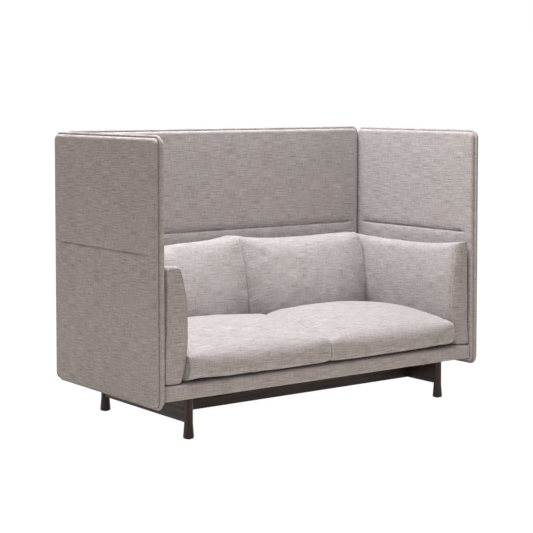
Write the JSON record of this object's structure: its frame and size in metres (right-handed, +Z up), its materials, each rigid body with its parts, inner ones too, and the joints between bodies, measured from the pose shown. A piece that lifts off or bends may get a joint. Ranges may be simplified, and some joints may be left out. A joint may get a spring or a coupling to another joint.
{
  "type": "high back settee",
  "caption": "Upholstered settee with tall padded screens round the sides and back, loose seat, back and arm cushions, and a dark timber underframe on flared legs.",
  "frame": {"origin": "on the floor below the middle of the settee, midway along it and midway between the front edges of the side screens and the rear of the back screen", "axes": "+X along the seat towards the right arm as seen from the front, +Y to the rear, +Z up; the sitter faces -Y"},
  "size_m": [1.86, 0.9063, 1.304],
  "materials": {
    "cover_fabric": "matte",
    "bead_fabric": "matte",
    "stained_wood": "satin",
    "screen_board_wood": "matte",
    "frame_wood": "matte",
    "foam": "matte",
    "webbing": "matte",
    "dust_cloth": "matte",
    "plated_steel": "satin",
    "fastener_steel": "satin",
    "glide_plastic": "matte"
  },
  "bodies": {
    "root": {"back_screen_bead": "bead_fabric", "back_screen_board": "screen_board_wood", "back_screen_bolts": "fastener_steel", "back_screen_inner_pad": "cover_fabric", "back_screen_outer_pad": "cover_fabric", "bracket_screws": "fastener_steel", "corner_brackets": "plated_steel", "deck_brackets": "plated_steel", "deck_cover": "cover_fabric", "deck_dust_cloth": "dust_cloth", "deck_foam": "foam", "deck_front_beam": "frame_wood", "deck_left_cross_beam": "frame_wood", "deck_left_end_beam": "frame_wood", "deck_middle_beam": "frame_wood", "deck_rear_beam": "frame_wood", "deck_right_cross_beam": "frame_wood", "deck_right_end_beam": "frame_wood", "deck_webbing": "webbing", "foot_glides": "glide_plastic", "left_screen_bead": "bead_fabric", "left_screen_board": "screen_board_wood", "left_screen_bolts": "fastener_steel", "left_screen_inner_pad": "cover_fabric", "left_screen_outer_pad": "cover_fabric", "leg_front_left": "stained_wood", "leg_front_right": "stained_wood", "leg_rear_left": "stained_wood", "leg_rear_right": "stained_wood", "long_rail_front": "stained_wood", "long_rail_rear": "stained_wood", "right_screen_bead": "bead_fabric", "right_screen_board": "screen_board_wood", "right_screen_bolts": "fastener_steel", "right_screen_inner_pad": "cover_fabric", "right_screen_outer_pad": "cover_fabric", "side_rail_left": "stained_wood", "side_rail_right": "stained_wood"},
    "arm_cushion_left": {"arm_cushion_left": "cover_fabric"},
    "arm_cushion_right": {"arm_cushion_right": "cover_fabric"},
    "back_cushion_left": {"back_cushion_left": "cover_fabric"},
    "back_cushion_right": {"back_cushion_right": "cover_fabric"},
    "seat_cushion_left": {"seat_cushion_left": "cover_fabric"},
    "seat_cushion_right": {"seat_cushion_right": "cover_fabric"}
  },
  "joints": [
    {"name": "arm_cushion_left_lift", "type": "slide", "parent": "root", "child": "arm_cushion_left", "axis": [0, 0, 1], "range_m": [0, 1.06]},
    {"name": "arm_cushion_right_lift", "type": "slide", "parent": "root", "child": "arm_cushion_right", "axis": [0, 0, 1], "range_m": [0, 1.06]},
    {"name": "back_cushion_left_lift", "type": "slide", "parent": "root", "child": "back_cushion_left", "axis": [0, 0, 1], "range_m": [0, 1.06]},
    {"name": "back_cushion_right_lift", "type": "slide", "parent": "root", "child": "back_cushion_right", "axis": [0, 0, 1], "range_m": [0, 1.06]},
    {"name": "seat_cushion_left_lift", "type": "slide", "parent": "root", "child": "seat_cushion_left", "axis": [0, 0, 1], "range_m": [0, 1.06]},
    {"name": "seat_cushion_right_lift", "type": "slide", "parent": "root", "child": "seat_cushion_right", "axis": [0, 0, 1], "range_m": [0, 1.06]}
  ]
}
